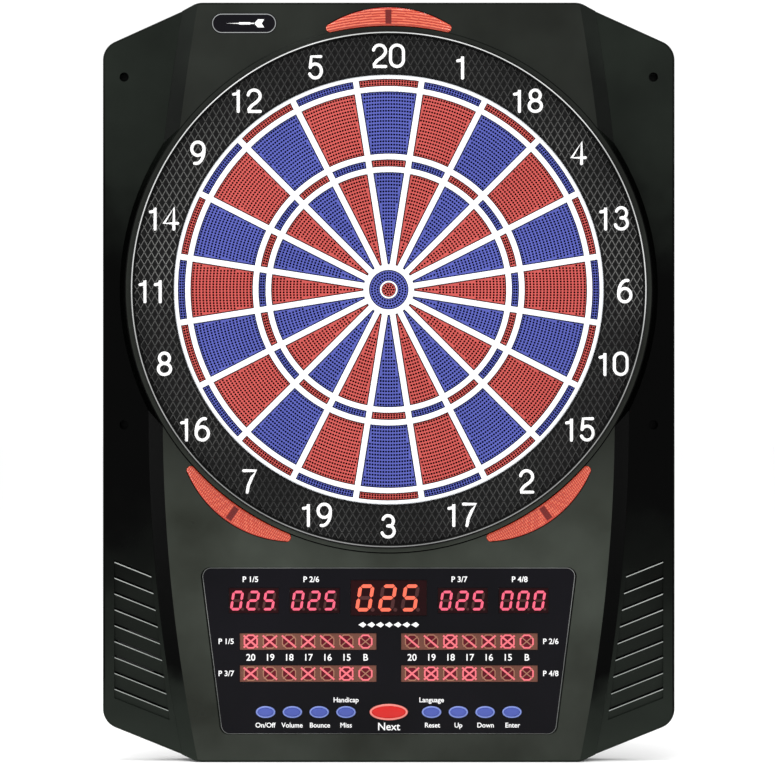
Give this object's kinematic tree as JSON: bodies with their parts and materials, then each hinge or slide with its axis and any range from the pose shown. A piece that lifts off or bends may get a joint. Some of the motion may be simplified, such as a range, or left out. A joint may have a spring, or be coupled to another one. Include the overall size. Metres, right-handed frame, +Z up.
{
  "type": "electronic dartboard",
  "caption": "Wall-hung electronic soft-tip dartboard: black case with sloped wings, perforated red and blue segment target, number ring, light lenses, score displays and buttons.",
  "frame": {"origin": "rear wall face, on the axis of the bull's-eye", "axes": "+X to the right seen from the front, +Z up, +Y into the wall; the target faces -Y"},
  "size_m": [0.456, 0.034, 0.604],
  "materials": {
    "case_plastic": "satin black moulded plastic",
    "cover_plastic": "matt black moulded plastic",
    "ring_plastic": "black, diamond texture",
    "web_plastic": "white moulded plastic",
    "backing_fibre": "hardboard",
    "rubber": "matt",
    "membrane_film": "printed polyester film",
    "lens_plastic": "translucent coral red",
    "circuit_board": "green circuit board",
    "panel_gloss": "polished black",
    "display_resin": "smoked display face",
    "button_blue": "blue",
    "button_red": "red",
    "speaker_parts": "black",
    "jack_plastic": "black",
    "badge_metal": "brushed silver rim, dark field",
    "screw_steel": "zinc plated",
    "segment_blue": "satin blue",
    "segment_red": "satin red"
  },
  "bodies": {
    "case": {"front_housing": "case_plastic", "rear_cover": "cover_plastic", "number_ring": "ring_plastic", "segment_web": "web_plastic", "backing_board": "backing_fibre", "rubber_sheet": "rubber", "sensor_membrane": "membrane_film", "lens_top": "lens_plastic", "lens_left": "lens_plastic", "lens_right": "lens_plastic", "light_boards": "circuit_board", "score_panel": "panel_gloss", "main_board": "circuit_board", "button_mat": "rubber", "display_main": "display_resin", "display_p1": "display_resin", "display_p2": "display_resin", "display_p3": "display_resin", "display_p4": "display_resin", "cricket_p1": "display_resin", "cricket_p2": "display_resin", "cricket_p3": "display_resin", "cricket_p4": "display_resin", "loudspeaker": "speaker_parts", "dc_jack": "jack_plastic", "badge": "badge_metal", "housing_screws": "screw_steel", "inner_screws": "screw_steel"},
    "sector_20": {"sector_20": "segment_blue"},
    "sector_01": {"sector_01": "segment_red"},
    "sector_18": {"sector_18": "segment_blue"},
    "sector_04": {"sector_04": "segment_red"},
    "sector_13": {"sector_13": "segment_blue"},
    "sector_06": {"sector_06": "segment_red"},
    "sector_10": {"sector_10": "segment_blue"},
    "sector_15": {"sector_15": "segment_red"},
    "sector_02": {"sector_02": "segment_blue"},
    "sector_17": {"sector_17": "segment_red"},
    "sector_03": {"sector_03": "segment_blue"},
    "sector_19": {"sector_19": "segment_red"},
    "sector_07": {"sector_07": "segment_blue"},
    "sector_16": {"sector_16": "segment_red"},
    "sector_08": {"sector_08": "segment_blue"},
    "sector_11": {"sector_11": "segment_red"},
    "sector_14": {"sector_14": "segment_blue"},
    "sector_09": {"sector_09": "segment_red"},
    "sector_12": {"sector_12": "segment_blue"},
    "sector_05": {"sector_05": "segment_red"},
    "bull_outer": {"bull_outer": "segment_blue"},
    "bull_inner": {"bull_inner": "segment_red"},
    "button_next": {"button_next": "button_red"},
    "button_on_off": {"button_on_off": "button_blue"},
    "button_volume": {"button_volume": "button_blue"},
    "button_bounce": {"button_bounce": "button_blue"},
    "button_miss": {"button_miss": "button_blue"},
    "button_reset": {"button_reset": "button_blue"},
    "button_up": {"button_up": "button_blue"},
    "button_down": {"button_down": "button_blue"},
    "button_enter": {"button_enter": "button_blue"}
  },
  "joints": [
    {"name": "sector_20_press", "type": "slide", "parent": "case", "child": "sector_20", "axis": [0, 1, 0], "range_m": [0, 0.0012], "stiffness_N_per_m": 500},
    {"name": "sector_01_press", "type": "slide", "parent": "case", "child": "sector_01", "axis": [0, 1, 0], "range_m": [0, 0.0012], "stiffness_N_per_m": 500},
    {"name": "sector_18_press", "type": "slide", "parent": "case", "child": "sector_18", "axis": [0, 1, 0], "range_m": [0, 0.0012], "stiffness_N_per_m": 500},
    {"name": "sector_04_press", "type": "slide", "parent": "case", "child": "sector_04", "axis": [0, 1, 0], "range_m": [0, 0.0012], "stiffness_N_per_m": 500},
    {"name": "sector_13_press", "type": "slide", "parent": "case", "child": "sector_13", "axis": [0, 1, 0], "range_m": [0, 0.0012], "stiffness_N_per_m": 500},
    {"name": "sector_06_press", "type": "slide", "parent": "case", "child": "sector_06", "axis": [0, 1, 0], "range_m": [0, 0.0012], "stiffness_N_per_m": 500},
    {"name": "sector_10_press", "type": "slide", "parent": "case", "child": "sector_10", "axis": [0, 1, 0], "range_m": [0, 0.0012], "stiffness_N_per_m": 500},
    {"name": "sector_15_press", "type": "slide", "parent": "case", "child": "sector_15", "axis": [0, 1, 0], "range_m": [0, 0.0012], "stiffness_N_per_m": 500},
    {"name": "sector_02_press", "type": "slide", "parent": "case", "child": "sector_02", "axis": [0, 1, 0], "range_m": [0, 0.0012], "stiffness_N_per_m": 500},
    {"name": "sector_17_press", "type": "slide", "parent": "case", "child": "sector_17", "axis": [0, 1, 0], "range_m": [0, 0.0012], "stiffness_N_per_m": 500},
    {"name": "sector_03_press", "type": "slide", "parent": "case", "child": "sector_03", "axis": [0, 1, 0], "range_m": [0, 0.0012], "stiffness_N_per_m": 500},
    {"name": "sector_19_press", "type": "slide", "parent": "case", "child": "sector_19", "axis": [0, 1, 0], "range_m": [0, 0.0012], "stiffness_N_per_m": 500},
    {"name": "sector_07_press", "type": "slide", "parent": "case", "child": "sector_07", "axis": [0, 1, 0], "range_m": [0, 0.0012], "stiffness_N_per_m": 500},
    {"name": "sector_16_press", "type": "slide", "parent": "case", "child": "sector_16", "axis": [0, 1, 0], "range_m": [0, 0.0012], "stiffness_N_per_m": 500},
    {"name": "sector_08_press", "type": "slide", "parent": "case", "child": "sector_08", "axis": [0, 1, 0], "range_m": [0, 0.0012], "stiffness_N_per_m": 500},
    {"name": "sector_11_press", "type": "slide", "parent": "case", "child": "sector_11", "axis": [0, 1, 0], "range_m": [0, 0.0012], "stiffness_N_per_m": 500},
    {"name": "sector_14_press", "type": "slide", "parent": "case", "child": "sector_14", "axis": [0, 1, 0], "range_m": [0, 0.0012], "stiffness_N_per_m": 500},
    {"name": "sector_09_press", "type": "slide", "parent": "case", "child": "sector_09", "axis": [0, 1, 0], "range_m": [0, 0.0012], "stiffness_N_per_m": 500},
    {"name": "sector_12_press", "type": "slide", "parent": "case", "child": "sector_12", "axis": [0, 1, 0], "range_m": [0, 0.0012], "stiffness_N_per_m": 500},
    {"name": "sector_05_press", "type": "slide", "parent": "case", "child": "sector_05", "axis": [0, 1, 0], "range_m": [0, 0.0012], "stiffness_N_per_m": 500},
    {"name": "bull_outer_press", "type": "slide", "parent": "case", "child": "bull_outer", "axis": [0, 1, 0], "range_m": [0, 0.0012], "stiffness_N_per_m": 500},
    {"name": "bull_inner_press", "type": "slide", "parent": "case", "child": "bull_inner", "axis": [0, 1, 0], "range_m": [0, 0.0012], "stiffness_N_per_m": 500},
    {"name": "button_next_press", "type": "slide", "parent": "case", "child": "button_next", "axis": [0, 1, 0], "range_m": [0, 0.0012], "stiffness_N_per_m": 300},
    {"name": "button_on_off_press", "type": "slide", "parent": "case", "child": "button_on_off", "axis": [0, 1, 0], "range_m": [0, 0.0012], "stiffness_N_per_m": 300},
    {"name": "button_volume_press", "type": "slide", "parent": "case", "child": "button_volume", "axis": [0, 1, 0], "range_m": [0, 0.0012], "stiffness_N_per_m": 300},
    {"name": "button_bounce_press", "type": "slide", "parent": "case", "child": "button_bounce", "axis": [0, 1, 0], "range_m": [0, 0.0012], "stiffness_N_per_m": 300},
    {"name": "button_miss_press", "type": "slide", "parent": "case", "child": "button_miss", "axis": [0, 1, 0], "range_m": [0, 0.0012], "stiffness_N_per_m": 300},
    {"name": "button_reset_press", "type": "slide", "parent": "case", "child": "button_reset", "axis": [0, 1, 0], "range_m": [0, 0.0012], "stiffness_N_per_m": 300},
    {"name": "button_up_press", "type": "slide", "parent": "case", "child": "button_up", "axis": [0, 1, 0], "range_m": [0, 0.0012], "stiffness_N_per_m": 300},
    {"name": "button_down_press", "type": "slide", "parent": "case", "child": "button_down", "axis": [0, 1, 0], "range_m": [0, 0.0012], "stiffness_N_per_m": 300},
    {"name": "button_enter_press", "type": "slide", "parent": "case", "child": "button_enter", "axis": [0, 1, 0], "range_m": [0, 0.0012], "stiffness_N_per_m": 300}
  ]
}
